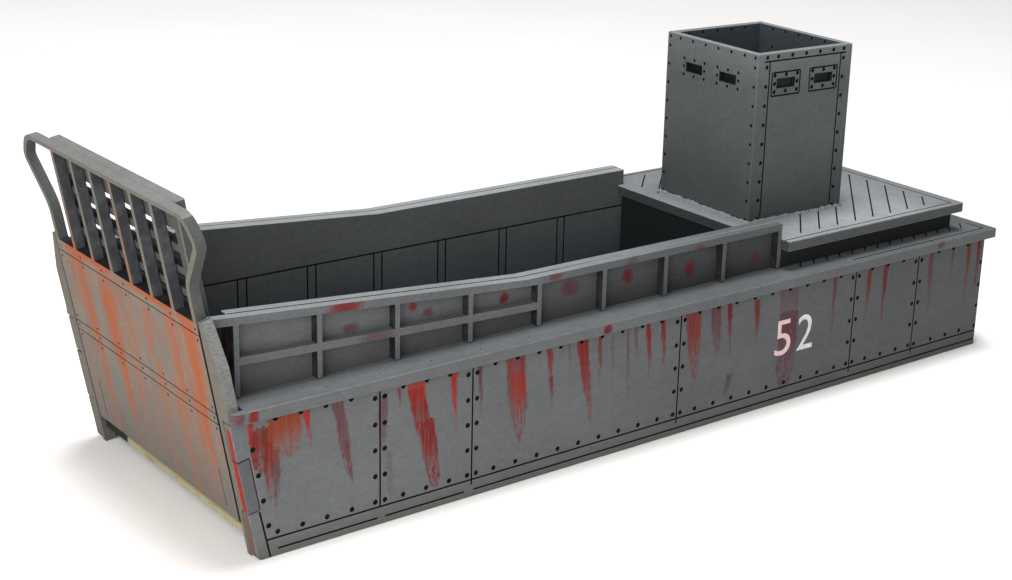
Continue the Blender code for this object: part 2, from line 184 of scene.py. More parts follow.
class Shader:
    def __init__(self, name):
        self.material = bpy.data.materials.new(name)
        self.material.use_nodes = True
        self.nodes = self.material.node_tree.nodes
        self.links = self.material.node_tree.links
        self.surface = self.nodes["Principled BSDF"]
        self.surface.inputs["Specular IOR Level"].default_value = 0.15
        # the point on the model, in millimetres, with x from the stern end of the hull sides
        raw = self.add("ShaderNodeTexCoord", output=3)
        values = {0: raw, 1: (1 / mm, 1 / mm, 1 / mm), 2: (-sternX, 0, 0)}
        self.place = self.add("ShaderNodeVectorMath", {"operation": "MULTIPLY_ADD"}, values)
        self.x, self.y, self.z = self.parts(self.place)

    def add(self, kind, settings=None, sockets=None, output=0):
        node = self.nodes.new(kind)
        for name, value in (settings or {}).items():
            setattr(node, name, value)
        for name, value in (sockets or {}).items():
            self.feed(node.inputs[name], value)
        return Wire(self, node.outputs[output])

    def feed(self, socket, value):
        if isinstance(value, Wire):
            self.links.new(value.socket, socket)
        elif isinstance(value, tuple) and len(value) == 3 and socket.type == "RGBA":
            socket.default_value = (*value, 1)
        else:
            socket.default_value = value

    def finish(self, paint, roughness, height, depth):
        # height and depth, in millimetres, make the bumps
        values = {"Height": height, "Distance": depth * mm, "Strength": 1}
        bumps = self.add("ShaderNodeBump", None, values)
        for name, value in (("Base Color", paint), ("Roughness", roughness), ("Normal", bumps)):
            self.feed(self.surface.inputs[name], value)
        return self.material

    def parts(self, vector):
        split = self.add("ShaderNodeSeparateXYZ", None, {0: vector})
        return [Wire(self, output) for output in split.socket.node.outputs]

    def noise(self, grain, detail=2, roughness=0.5):
        # grain: the size of a patch along x, y and z, in millimetres
        stretch = tuple(1 / size for size in grain)
        values = {0: self.place, 1: stretch}
        scaled = self.add("ShaderNodeVectorMath", {"operation": "MULTIPLY"}, values)
        values = {"Vector": scaled, "Scale": 1, "Detail": detail, "Roughness": roughness}
        return self.add("ShaderNodeTexNoise", None, values)

    def blend(self, amount, under, over, how="MIX"):
        settings = {"data_type": "RGBA", "blend_type": how}
        return self.add("ShaderNodeMix", settings, {0: amount, 6: under, 7: over}, output=2)


def grey(light, blue=0.03):
    return (light * (1 - 1.6 * blue), light, light * (1 + blue))


# Paint: a sprayed coat that wanders in tone, then streaks and dabs of rust colour

paintLook = {
    "cloudTone": 0.42,  # slow drift over a board
    "rubTone": 0.34,  # patches of a few millimetres
    "sprayTone": 0.6,  # fine speckle left by the spray can
    "sprayDepth": 0.035,  # mm
    "wornTone": 0.22,  # rubbed lighter spots
    "roughness": 0.72,
    "grime": (0.082, 0.078, 0.056),
    "scarlet": (0.2, 0.014, 0.006),
    "orange": (0.165, 0.027, 0.008),
    "red": (0.125, 0.009, 0.007),
    "crimson": (0.094, 0.005, 0.011),
    "mauve": (0.074, 0.022, 0.028),
    "brown": (0.094, 0.018, 0.009),
    "olive": (0.036, 0.04, 0.027),
}


def paintCoat(shader, tone, shade=None):
    cloud = shader.noise((26, 26, 19), 3, 0.55)
    rub = shader.noise((4, 4, 1.7), 4, 0.65)
    grain = shader.noise((0.55, 0.55, 0.55), 2, 0.6)
    worn = shader.noise((1.6, 1.6, 1.6), 5, 0.7).ease(0.57, 0.72)
    level = 1 + (cloud - 0.5) * paintLook["cloudTone"] + (rub - 0.5) * paintLook["rubTone"]
    level = level + (grain - 0.5) * paintLook["sprayTone"] + worn * paintLook["wornTone"]
    if shade:
        level = level * shade
    tint = shader.add("ShaderNodeCombineColor", None, {0: level, 1: level, 2: level})
    return shader.blend(1, tone, tint, "MULTIPLY"), grain, cloud


def streak(across, up, middle, width, top, bottom, lean, point):
    # how far down a leaning streak, and how far inside its edge; it narrows to its lower end
    fall = up.ease(top, bottom, how="LINEAR")
    half = width / 2 - (fall ** point) * (width / 2)
    return fall, half - abs(across + fall * lean - middle)


def streaks(shader, paint, across, up, marks, where):
    # one layer for each colour, of streaks that break up on the way down
    bend = shader.noise((3.2, 3.2, 4.5))
    fray = shader.noise((0.7, 0.7, 1.3))
    brush = shader.noise((0.42, 0.42, 9), 4, 0.65).ease(0.34, 0.6, 0.74, 1.08)
    holes = shader.noise((0.42, 0.42, 1.5), 4, 0.7).ease(0.4, 0.6, 0.05, 1)
    across = across + (bend - 0.5) * 1.3 + (fray - 0.5)
    up = up + (fray - 0.5) * 3
    for colour in ("olive", "mauve", "brown", "orange", "red", "crimson", "scarlet"):
        layer = None
        for kind, cover, *mark in marks:
            if kind == colour:
                (fall, inside), top = streak(across, up, *mark), mark[2]
                mask = inside.ease(-0.25, 0.55) * up.ease(top + 0.5, top)
                mask = mask * holes.orMore(fall.ease(0.95, 0.25)) * cover
                layer = mask if layer is None else layer.orMore(mask)
        if layer is not None:
            paint = shader.blend((layer * brush * where).orLess(1), paint, paintLook[colour])
    return paint


def dabs(shader, paint, across, up, spots, where):
    # fingertip dabs: colour, cover, two opposite corners
    fray = shader.noise((0.8, 0.8, 0.8), 5, 0.8)
    for kind, cover, (x0, z0), (x1, z1) in spots:
        aside = (across - (x0 + x1) / 2) * (2 / abs(x0 - x1))
        rise = (up - (z0 + z1) / 2) * (2 / abs(z0 - z1))
        reach = aside * aside + rise * rise + (fray - 0.5) * 3.6
        paint = shader.blend(reach.ease(1.7, 0.1) * cover * where, paint, paintLook[kind])
    return paint


def boardPaint(name, tone, shade=None, grime=0, marks=None):
    # shade is painted light and shade that dims or lifts the tone over the board; grime gathers at
    # its foot
    shader = Shader(name)
    if callable(tone):
        tone = tone(shader)
    paint, grain, cloud = paintCoat(shader, tone, shade and shade(shader))
    if grime:
        foot = shader.z.ease(6.5, 1.5) * grime
        paint = shader.blend(foot * cloud.ease(0.3, 0.6), paint, paintLook["grime"])
    if marks:
        paint = marks(shader, paint)
    rough = (cloud - 0.5) * 0.2 + paintLook["roughness"]
    return shader.finish(paint, rough, grain, paintLook["sprayDepth"])


def edgePaint(name, tone, lift):
    # the rubbed corner of a board
    shader = Shader(name)
    patch = shader.noise((2.6, 2.6, 2.6), 4, 0.65).ease(0.36, 0.64)
    grain = shader.noise((0.4, 0.4, 0.4), 2, 0.6)
    paint = shader.blend(patch, tone, tuple(lift * c for c in tone))
    return shader.finish(paint, grain * 0.2 + 0.6, grain, paintLook["sprayDepth"])


def darkPaint(name, low, high, grain=3):
    # wash in the engraving, laser burn on cut edges, and painted shade in slits, gaps and under
    # rails
    shader = Shader(name)
    thin = shader.noise((grain, grain, grain), 4, 0.65)
    paint = shader.blend(thin.ease(0.35, 0.72), low, high)
    return shader.finish(paint, thin * 0.3 + 0.6, shader.noise((0.3, 0.3, 0.3)), 0.02)


# Marks on the port side:
# colour, cover, x, width, top, bottom, lean towards the stern, bluntness of the lower end
portMarks = [
    ("scarlet", 0.95, 256.9, 1.8, 36.5, 28, 0, 3),
    ("brown", 0.95, 254.2, 6.2, 32.8, 21.6, 0.2, 9),
    ("red", 0.8, 255.8, 3, 31.5, 22.4, -0.2, 6),
    ("orange", 0.9, 250.6, 4.4, 35.2, 22.6, 0.2, 8),
    ("orange", 0.97, 247.3, 4.4, 36.5, 23.6, 0.3, 8),
    ("orange", 0.88, 244.9, 2.6, 36.5, 24.4, 0.2, 7),
    ("red", 0.72, 252.4, 2.6, 29, 13, 0.2, 3),
    ("mauve", 0.92, 250.7, 2.4, 27, 11, 0, 3),
    ("mauve", 0.8, 253.4, 1.4, 26, 14, 0.4, 3),
    ("scarlet", 0.97, 243, 2.3, 36.5, 23.6, 1.9, 1.5),
    ("mauve", 0.82, 234.4, 3.3, 35.6, 13, 4, 6),
    ("crimson", 0.4, 231.9, 2, 24, 14, 1.6, 4),
    ("mauve", 0.72, 221.9, 3, 33.6, 17.5, 0, 3),
    ("mauve", 0.3, 220.4, 2.4, 18.5, 5.6, 0.8, 5),
    ("crimson", 0.7, 217.2, 1.4, 34, 28.6, 0.4, 1.6),
    ("scarlet", 0.85, 212.8, 5.6, 36.5, 27, 1.6, 6),
    ("red", 0.97, 212.4, 5, 33, 16, 3.4, 6),
    ("red", 0.97, 209.2, 4.6, 24, 5.2, 2.6, 9),
    ("scarlet", 0.92, 201.4, 2.3, 36.5, 16.5, 1, 1.4),
    ("mauve", 0.92, 193.8, 1.9, 36.5, 21, 1, 2),
    ("red", 0.78, 182.8, 6.2, 36.5, 10.5, 2, 4.5),
    ("scarlet", 0.7, 181.8, 4.6, 30, 18.5, 1, 5),
    ("mauve", 0.6, 180.6, 1.6, 34, 17, 1.6, 2.5),
    ("red", 0.98, 172, 2.3, 36.5, 24, 0.9, 2),
    ("crimson", 0.8, 171.2, 1.6, 27, 17, 0.6, 1.4),
    ("mauve", 0.6, 165.6, 1, 35, 24, 0.6, 1.6),
    ("red", 0.97, 161.6, 3.8, 36.5, 10, 4.2, 2.4),
    ("brown", 0.85, 155.4, 1.7, 34, 18, 0.6, 1.4),
    ("mauve", 0.5, 151.1, 1, 34.5, 16, 0.6, 2),
    ("mauve", 0.62, 145.9, 1.3, 36, 11, 1, 2.4),
    ("mauve", 0.6, 143.1, 1.6, 36, 22, 0.6, 2),
    ("red", 0.94, 138.9, 2, 35.5, 17.4, 1.4, 1.9),
    ("red", 0.98, 133.8, 2.1, 36.5, 18.6, 1.6, 1.8),
    ("red", 0.86, 122.9, 5.6, 36.5, 14, 2, 3.5),
    ("mauve", 0.86, 114.5, 4.2, 35.5, 18.4, 1.6, 2.4),
    ("crimson", 0.98, 109.2, 2.1, 36.5, 17.5, 1.2, 1.6),
    ("olive", 0.7, 107.4, 2.6, 13.4, 7.2, -1.8, 9),
    ("brown", 0.97, 98.6, 2.4, 33.6, 18.8, 0.6, 1.8),
    ("mauve", 0.86, 85.4, 7.6, 27.5, 3.4, -0.6, 9),
    ("mauve", 0.5, 86.6, 7, 36.5, 24, 0.8, 5),
    ("mauve", 0.55, 83.2, 2.2, 36, 25, 0, 3),
    ("mauve", 0.92, 67.4, 1.8, 38, 13, 0, 2.2),
    ("brown", 0.98, 52.2, 2.4, 38, 16.5, -1, 2),
    ("crimson", 0.99, 45.6, 2.4, 38, 13.5, -0.2, 1.9),
    ("mauve", 0.84, 25.2, 2.8, 38, 14, 0.8, 2.2),
    ("mauve", 0.9, 15.1, 1.8, 38, 23, 0, 2),
    ("brown", 0.98, 7.2, 2.4, 38, 11.5, -0.6, 1.7),
    ("crimson", 0.98, 2.6, 2.2, 38, 15, -0.2, 1.8),
]


def inventedMarks(seed, count, length, top):
    # the same kind of streaks for the side that can't be seen
    dice = random.Random(seed)
    marks = []
    for n in range(count):
        kind = dice.choice(["red", "crimson", "mauve", "mauve", "brown", "orange"])
        x = (n + dice.uniform(0.15, 0.85)) * length / count
        drop = dice.uniform(9, 26)
        width = dice.uniform(1.2, 2.6) if dice.random() < 0.75 else dice.uniform(3.4, 6)
        lean = dice.uniform(-0.6, 2.4)
        cover, point = dice.uniform(0.55, 0.92), dice.uniform(1.4, 4)
        marks.append((kind, cover, x, width, top, top - drop, lean, point))
    return marks


def sideMarks(marks, side):
    def draw(shader, paint):
        return streaks(shader, paint, shader.x, shader.z, marks, (shader.y * side).above(43.3))

    return draw


deckDabs = [
    ("crimson", 0.95, (156.1, 38.4), (153.2, 35.3)),
    ("mauve", 0.55, (141.6, 35.9), (139.4, 34.4)),
    ("mauve", 0.8, (262.6, 39.8), (259.2, 35)),
    ("red", 0.95, (258.3, 41), (255.7, 34)),
    ("mauve", 0.8, (25.4, 38.4), (21.9, 36.6)),
]
bulwarkDabs = [
    ("red", 0.85, (208.7, 51.5), (206.4, 49.2)),
    ("mauve", 0.7, (204.9, 49.2), (201.7, 46.8)),
    ("crimson", 0.95, (181.6, 48.7), (178.8, 45.8)),
    ("mauve", 0.75, (227.2, 49.8), (223, 47)),
    ("mauve", 0.8, (162.2, 48.2), (155.8, 43.8)),
    ("crimson", 0.85, (141.2, 47.9), (137.4, 43.6)),
    ("crimson", 0.85, (118.8, 45.9), (115, 41.6)),
    ("mauve", 0.9, (93.7, 44.2), (90.2, 40.3)),
]
railDabs = [
    ("red", 0.9, (232.6, 56.9), (223.5, 53.2)),
    ("brown", 0.7, (168, 52.6), (163.8, 50)),
    ("mauve", 0.6, (224, 47.6), (214, 44.4)),
    ("mauve", 0.55, (143, 51.6), (138, 49.4)),
    ("mauve", 0.7, (118, 51.2), (114, 49.4)),
]


def portDabs(spots, low, high):
    # dabs on the face that lies between two distances to port
    def draw(shader, paint):
        where = shader.y.above(low) * (high - shader.y).above(0)
        return dabs(shader, paint, shader.x, shader.z, spots, where)

    return draw


# Painted light and shade: tones of each surface, as they lie under this light


# painted shade: the hull sides darker towards the stern, away from the bow lamp
def sidePaintedShade(shader):
    return shader.x.ease(-20, 250, 0.72, 1)


# painted shade: the inner face of a well wall darker and bluer towards the floor
def innerToneWithPaintedShade(shader):
    return shader.blend(shader.z.ease(16, 47), (0.044, 0.053, 0.064), (0.088, 0.094, 0.095))


def panelPaintedShade(shader):
    # painted shade: the bulwark's panels darker aft and just above the deck
    return shader.x.ease(95, 245, 0.64, 1.2) * shader.z.ease(38, 48, 0.66, 1)


# painted light: the lattice lighter towards the bow
def latticePaintedLight(shader):
    return shader.x.ease(120, 190, 0.98, 1.18)


def railPaintedLight(shader):
    # painted light on the rail tops: port rail darker aft, starboard rail lighter all along
    port = shader.y.above(0)
    return shader.x.ease(88, 175, 0.5, 1.05) * port + (1 - port) * 1.35


def seamPaintedLightAndShadow(shader):
    # a painted shadow along the seam between rail and wall on the port side, towards the bow, and
    # a painted highlight over it on the starboard side
    port = shader.y.above(0)
    return 1 - shader.x.ease(130, 185) * port * 0.95 + (1 - port) * 0.9


# painted light and shade: the upper deck darker at its aft end and towards the tower, lighter
# towards its port edge
def upperPaintedLight(shader):
    along = shader.x.ease(6, 32, 0.68, 0.84) - shader.x.ease(32, 80, 0, 0.17)
    return along + shader.y.ease(18, 34, 0, 0.24) * shader.x.ease(18, 36)


# painted shade low on the tower walls, rising to a painted highlight under the rim
def towerPaintedShade(shader):
    return shader.z.ease(46, 84, 0.66, 0.92) + shader.z.ease(84, 97, 0, 0.34)


def upRamp(shader):
    # how far up the ramp's own face, in millimetres
    return (shader.z - rampFoot[1]) * (1 / math.cos(bowRake))


def rampTone(shader):
    up = upRamp(shader)
    panel = shader.blend(up.ease(4, 30), (0.108, 0.104, 0.095), (0.142, 0.13, 0.108))
    return shader.blend(up.ease(51.6, 52.4), panel, (0.108, 0.106, 0.088))


def rampSideBurnAndShade(shader):
    # laser-burnt and darkened with painted shade where it faces the post, grey again on the ear
    return shader.blend(shader.z.ease(56.5, 58.5), (0.01, 0.011, 0.013), (0.06, 0.065, 0.06))


rampLook = {
    "rust": (0.262, 0.06, 0.016),
    "faintRust": (0.205, 0.088, 0.05),
    # cover, y, width, top, bottom, lean towards starboard, bluntness
    "streaks": [
        (0.66, -26, 6.5, 53, 10, -1, 2),
        (0.45, -30.5, 4, 53, 38, 0, 2.5),
        (0.5, -12, 6.5, 53, 6, 0.4, 3),
        (0.78, -12.4, 7, 44, 16, 0.2, 3),
        (0.26, -3, 8, 52, 14, 1, 3),
        (0.44, 9.4, 5, 46, 27, 1.8, 2),
        (0.34, 10.2, 4.6, 32, 11, 0.9, 2),
        (0.62, 24, 5, 53, 16, 3.6, 2),
        (0.8, 33, 6.6, 53, 13, 2.2, 2.5),
        (0.55, 28.4, 4, 36, 12, 1.8, 2),
        (0.35, 18, 4.4, 30, 6, 0.6, 2),
    ],
    "bands": [(-33, -6.6), (2, 24.6), (27.6, 35.5)],  # bright rust along the panel's top edge
    "fins": [(0.5, 5.3), (0.35, -26.5)],  # cover and y of the rusty fins
    "coolGrey": (0.106, 0.113, 0.104),
}


def rampRust(shader, paint):
    y, up = shader.y, upRamp(shader)
    normal = shader.add("ShaderNodeTexCoord", output=1)
    front = shader.parts(normal)[0].above(0.7)
    bend = shader.noise((4, 4, 9))
    fray = shader.noise((1.2, 1.2, 6), 4, 0.65)
    brush = shader.noise((2.2, 2.2, 30), 3, 0.6)
    across = y + (bend - 0.5) * 3.4 + (fray - 0.5) * 2.4
    cool = shader.noise((6, 6, 20), 3, 0.6).ease(0.46, 0.6) * (51 - up).ease(-1, 1)
    paint = shader.blend(cool * front * 0.75, paint, rampLook["coolGrey"])
    faint = brush.ease(0.36, 0.64) * up.ease(0, 20, 0.2, 0.45) * (53 - up).ease(-5, 1)
    paint = shader.blend(faint * front, paint, rampLook["faintRust"])
    layer = None
    for cover, *mark in rampLook["streaks"]:
        inside, top = streak(across, up, *mark)[1], mark[2]
        mask = inside.ease(-2.2, 1.8) * up.ease(top + 4, top - 0.5) * cover
        layer = mask if layer is None else layer.orMore(mask)
    layer = layer * brush.ease(0.3, 0.6, 0.75, 1.15)
    atTop = up.between(50.6, 52.6, 0.6) * fray.ease(0.35, 0.5, 0.45, 1)
    for low, high in rampLook["bands"]:
        layer = layer.orMore(y.between(low, high, 0.8) * atTop)
    onFins = up.ease(50, 54) * fray.ease(0.35, 0.6)
    for cover, middle in rampLook["fins"]:
        layer = layer.orMore(y.between(middle - 1.2, middle + 1.2, 0.2) * onFins * cover)
    return shader.blend((layer * front).orLess(1), paint, rampLook["rust"])


def bowFaceRust(shader, paint):
    # the bright line that runs down the outer edge of the port bow
    fray = shader.noise((0.7, 0.7, 2.6), 4, 0.65)
    line = (shader.y + (fray - 0.5) * 1.4).ease(40.9, 41.6)
    bright, dull = shader.z.between(12.6, 34, 0.5) * 0.97, shader.z.ease(12.9, 12.3) * 0.45
    paint = shader.blend(line * bright, paint, paintLook["scarlet"])
    return shader.blend(line * dull, paint, paintLook["red"])


def ridgePaint():
    # the side of a bow post: fine ridges left by the laser, brushed light
    shader = Shader("laser_ridges")
    ridge = shader.noise((1.1, 1.1, 0.24), 4, 0.7)
    grain = shader.noise((0.6, 0.6, 0.4), 3, 0.6)
    paint = shader.blend(ridge.ease(0.3, 0.68), (0.092, 0.095, 0.091), (0.16, 0.164, 0.156))
    return shader.finish(paint, grain * 0.3 + 0.6, ridge, 0.035)


def bareBoard():
    # unpainted fibreboard: fine pale fibres in a tan body, with painted shade at the starboard
    # corner
    shader = Shader("bare_fibreboard")
    fibre = shader.noise((2.6, 0.5, 0.28), 4, 0.7)
    patch = shader.noise((3, 9, 3))
    paint = shader.blend(fibre.ease(0.34, 0.66), (0.24, 0.208, 0.115), (0.37, 0.33, 0.205))
    paint = shader.blend(patch.ease(0.55, 0.75) * 0.5, paint, (0.13, 0.1, 0.05))
    paint = shader.blend(shader.z.ease(5.2, 6.4) * 0.6, paint, (0.15, 0.135, 0.055))
    # painted shade at the starboard end, where the hull's dark inside shows past the floor board
    paint = shader.blend(shader.y.ease(-24.4, -25.8), paint, (0.012, 0.012, 0.011))
    return shader.finish(paint, fibre * 0.2 + 0.7, fibre, 0.05)


wash = darkPaint("engraving_wash", (0.002, 0.002, 0.002), (0.007, 0.007, 0.008))
sootAndShade = darkPaint("laser_burn_and_painted_shade", (0.008, 0.009, 0.011), (0.024, 0.025, 0.028))
slitPaintedShade = darkPaint("slit_inside_painted_shade", (0.003, 0.003, 0.004), (0.012, 0.012, 0.013))
burnt = darkPaint("burnt_board_end", (0.02, 0.011, 0.006), (0.07, 0.036, 0.018), 1.6)
finEdge = darkPaint("fin_side", (0.028, 0.03, 0.034), (0.06, 0.061, 0.064), 5)
hullEdge = edgePaint("hull_board_edge", grey(0.09), 1.35)
deckEdge = edgePaint("deck_board_edge", grey(0.1), 1.3)
upperEdge = edgePaint("upper_deck_edge", grey(0.15), 1.35)
brightEdge = edgePaint("rail_edge", grey(0.15), 1.45)
darkEdge = edgePaint("inside_edge", grey(0.02, 0.1), 1.5)
portPaint = boardPaint("port_side_paint", grey(0.105), sidePaintedShade, 0.3, sideMarks(portMarks, 1))
starboardMarks = sideMarks(inventedMarks(5, 34, 257, 36.5), -1)
starboardPaint = boardPaint("starboard_side_paint", grey(0.105), sidePaintedShade, 0.3, starboardMarks)
transomPaint = boardPaint("transom_paint", grey(0.086), None, 0.3)
deckPaint = boardPaint("deck_paint", grey(0.106))
deckSidePaint = boardPaint("deck_side_paint", grey(0.1), marks=portDabs(deckDabs, 44, 46))
# the upper deck's top painted lighter, and its side and forward faces darker: lit and shaded
# copies of one paint
upperDeckLitPaint = boardPaint("upper_deck_painted_light", grey(0.275), upperPaintedLight)
upperSideShadedPaint = boardPaint("upper_deck_side_painted_shade", grey(0.066))
upperForeShadedPaint = boardPaint("upper_deck_fore_painted_shade", grey(0.042))
innerPaint = boardPaint("well_inside_paint_with_painted_shade", innerToneWithPaintedShade)
panelMarks = portDabs(bulwarkDabs, 34, 35.2)
panelPaint = boardPaint("bulwark_panel_paint", grey(0.085), panelPaintedShade, marks=panelMarks)
railMarks = portDabs(railDabs, 37.2, 38)
latticePaint = boardPaint("bulwark_lattice_paint", grey(0.084), latticePaintedLight, marks=railMarks)
# the rail tops painted lighter than the wall faces below them, a painted highlight
railTopLitPaint = boardPaint("rail_top_painted_light", grey(0.2), railPaintedLight)
seamLitAndShadowedPaint = boardPaint("rail_seam_painted_light_and_shadow", grey(0.2), seamPaintedLightAndShadow)
# painted highlight on the tower's rim, painted shade on its inside faces
towerRimHighlight = boardPaint("tower_top_painted_highlight", grey(0.2))
towerPaint = boardPaint("tower_paint", (0.084, 0.094, 0.094), towerPaintedShade)
towerInsideShade = boardPaint("tower_inside_painted_shade", (0.048, 0.058, 0.067))
bulkheadPaint = boardPaint("bulkhead_paint", (0.01, 0.013, 0.014))
engineWallPaint = boardPaint("engine_wall_paint", (0.01, 0.012, 0.013))
floorPaint = boardPaint("well_floor_paint", grey(0.07))
rampPaint = boardPaint("ramp_paint", rampTone, marks=rampRust)
# painted highlight on the ramp's upward faces
rampTopLitPaint = boardPaint("ramp_top_painted_light", (0.15, 0.153, 0.148))
rampBackPaint = boardPaint("ramp_back_paint", grey(0.07))
rampSidePaint = boardPaint("ramp_side_paint", rampSideBurnAndShade)
earSidePaint = boardPaint("ear_side_paint", (0.056, 0.06, 0.058))
platePaint = boardPaint("grille_plate_paint", (0.06, 0.062, 0.057))
bowFacePaint = boardPaint("bow_face_paint", (0.112, 0.098, 0.078), marks=bowFaceRust)
postPaint = boardPaint("bow_post_paint", grey(0.078))
fillerPaint = boardPaint("filler_paint", (0.17, 0.18, 0.178))
ridges = ridgePaint()
bareEdge = bareBoard()
print("finishes made")


# Boards

boardLook = {
    "cornerRound": 0.22,  # rubbed corner of each cut board
    "grooveWidth": 0.46,
    "grooveDepth": 0.32,
    "pitWidth": 1.6,
    "pitDepth": 0.45,
    "pitTaper": 0.7,
}


def weldedCopy(node, name, weld):
    # a CAD node's mesh is loose triangles: weld it and merge its flat faces
    board = copyOf(frame["nodes"][node], name)
    board.parent = None
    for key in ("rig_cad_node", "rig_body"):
        if key in board:
            del board[key]
    pickOnly(board)
    bpy.ops.mesh.customdata_custom_splitnormals_clear()
    bpy.ops.object.mode_set(mode="EDIT")
    bpy.ops.mesh.select_all(action="SELECT")
    bpy.ops.mesh.remove_doubles(threshold=weld * mm)
    bpy.ops.mesh.dissolve_limited(angle_limit=math.radians(0.5))
    bpy.ops.object.mode_set(mode="OBJECT")
    bpy.ops.object.shade_flat()
    return board


def dressedBoard(node, paint, edge, body="hull", weld=0.002):
    board = weldedCopy(node, node.replace("_", "-") + "-board", weld)
    setMaterials(board, paint, edge)
    for face in board.data.polygons:
        face.material_index = 0
    settings = {"limit_method": "ANGLE", "angle_limit": math.radians(30), "material": 1}
    applied(board, "BEVEL", width=boardLook["cornerRound"] * mm, **settings)
    applied(board, "TRIANGULATE", quad_method="BEAUTY", ngon_method="BEAUTY")
    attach(board, body)
    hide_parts(node)
    return board


def paintFaces(board, material, chosen):
    # chosen(f) says which faces: f has centre in millimetres, normal, and corner where rubbed
    materials = board.data.materials
    corners = materials[1]
    materials.append(material)
    for face in board.data.polygons:
        now = materials[face.material_index]
        centre = Vector((face.center.x / mm - sternX, face.center.y / mm, face.center.z / mm))
        spot = SimpleNamespace(centre=centre, normal=face.normal, corner=now == corners)
        if now != wash and chosen(spot):
            face.material_index = len(materials) - 1


def cutterKit():
    bpy.ops.mesh.primitive_cube_add(size=1)
    groove = bpy.context.object
    groove.name = "groove_cutter"
    bpy.ops.mesh.primitive_cylinder_add(vertices=10, radius=0.5, depth=1)
    pit = bpy.context.object
    pit.name = "pit_cutter"
    bpy.ops.object.mode_set(mode="EDIT")
    bpy.ops.mesh.select_all(action="DESELECT")
    bpy.ops.object.mode_set(mode="OBJECT")
    for face in pit.data.polygons:
        face.select = face.normal.z < -0.9
    bpy.ops.object.mode_set(mode="EDIT")
    taper = boardLook["pitTaper"]  # a pit narrows as it goes down
    bpy.ops.transform.resize(value=(taper, taper, 1))
    bpy.ops.object.mode_set(mode="OBJECT")
    for cutter in (groove, pit):
        setMaterials(cutter, wash)
    return groove, pit


grooveCutter, pitCutter = cutterKit()


def grooveOn(face, start, end, width=boardLook["grooveWidth"]):
    a, b = Vector((*start, 0)), Vector((*end, 0))
    run = b - a
    cutter = copyOf(grooveCutter, "cut")
    turn = Matrix.Rotation(math.atan2(run.y, run.x), 4, "Z")
    size = Matrix.Diagonal((run.length, width, 2 * boardLook["grooveDepth"], 1))
    cutter.matrix_world = face @ Matrix.Translation((a + b) / 2) @ turn @ size
    return cutter


def pitOn(face, point, width):
    cutter = copyOf(pitCutter, "cut")
    size = Matrix.Diagonal((width, width, 2 * boardLook["pitDepth"], 1))
    cutter.matrix_world = face @ Matrix.Translation((point[0], point[1], 0)) @ size
    return cutter


def carve(board, cutters):
    cutter = joined(cutters, "cutter")
    settings = {"operation": "DIFFERENCE", "solver": "EXACT", "material_mode": "TRANSFER"}
    applied(board, "BOOLEAN", object=cutter, **settings)
    bpy.data.objects.remove(cutter)


def engrave(board, face, lines, pits=(), pitWidth=boardLook["pitWidth"],
            width=boardLook["grooveWidth"]):
    # lines that cross are cut in separate passes
    level, upright = [], []
    for start, end in lines:
        flat = abs(end[0] - start[0]) > abs(end[1] - start[1])
        (level if flat else upright).append(grooveOn(face, start, end, width))
    for group in (level, upright, [pitOn(face, point, pitWidth) for point in pits]):
        if group:
            carve(board, group)


# Hull sides: panel lines with a column of rivets either side, and a row above the chine
hullLook = {
    "panelLines": [222.6, 195.7, 127.1, 58.5, 30.9],
    "chine": 4.75,
    "rubbingLine": 1.92,
    "rubbingRuns": [(-1, 195), (197.9, 221.2), (223.4, 250.6)],
    "columnOffset": 1.35,
    "columnHeights": [33.2, 26.4, 19.75, 13, 6.25],
    "rowHeight": 6.2,
    "topRowHeight": 34.55,
    "chineEnd": 253.7,
    "lineTop": 36,
    "pastChine": 1.4,  # how far the panel lines run on below the chine, but for the first
    "bowLine": ((255.1, 12.4), (252.4, -0.5)),
    "rowPositions": [
        [250.5, 243.9, 237.3, 230.5],
        [216, 209.3, 202.5],
        [188.9, 182.05, 175.2, 168.35, 161.5, 154.6, 147.8, 140.9, 134.1],
        [120.4, 113.5, 106.6, 99.6, 92.8, 85.8, 78.9, 72.1, 65],
        [51.6, 44.8, 37.9],
        [21.8, 14.9, 8.2],
    ],
    "ridgesAbove": 38.9,
    "bowColumn": [(256.4, 28.2), (255.1, 21.5), (254, 14.9), (252.8, 8.3)],
    "sternColumn": [(0.9, 27.5), (0.9, 20.2), (0.9, 13.2), (0.9, 6.3)],
}


def columnPits(lines):
    # a column of rivets on both sides of each upright line
    columns = [line + side * hullLook["columnOffset"] for line in lines for side in (-1, 1)]
    return [(column, z) for column in columns for z in hullLook["columnHeights"]]


def hullSide(node, side, paint):
    board = dressedBoard(node, paint, hullEdge)
    outer = abs(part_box(node)[1 if side > 0 else 0].y) / mm
    face = faceAt((0, side * outer, 0), (-side, 0, 0), (0, side, 0))
    chine, rub = hullLook["chine"], hullLook["rubbingLine"]
    lines = [((-1, chine), (hullLook["chineEnd"], chine))]
    lines += [((a, rub), (b, rub)) for a, b in hullLook["rubbingRuns"]]
    for n, x in enumerate(hullLook["panelLines"]):
        lines.append(((x, chine - (hullLook["pastChine"] if n else 0)), (x, hullLook["lineTop"])))
    lines.append(hullLook["bowLine"])
    pits = columnPits(hullLook["panelLines"]) + hullLook["bowColumn"] + hullLook["sternColumn"]
    for row in hullLook["rowPositions"]:
        pits += [(x, z) for x in row for z in (hullLook["rowHeight"], hullLook["topRowHeight"])]
    lines = [((-side * a, low), (-side * b, high)) for (a, low), (b, high) in lines]
    engrave(board, face, lines, [(-side * x, z) for x, z in pits])
    paintFaces(board, bowFacePaint, lambda f: f.normal.x > 0.9)
    # painted shade on the inner face of the hull side, where the inside of the hull lies dark
    paintFaces(board, sootAndShade, lambda f: f.normal.y * side < -0.8)


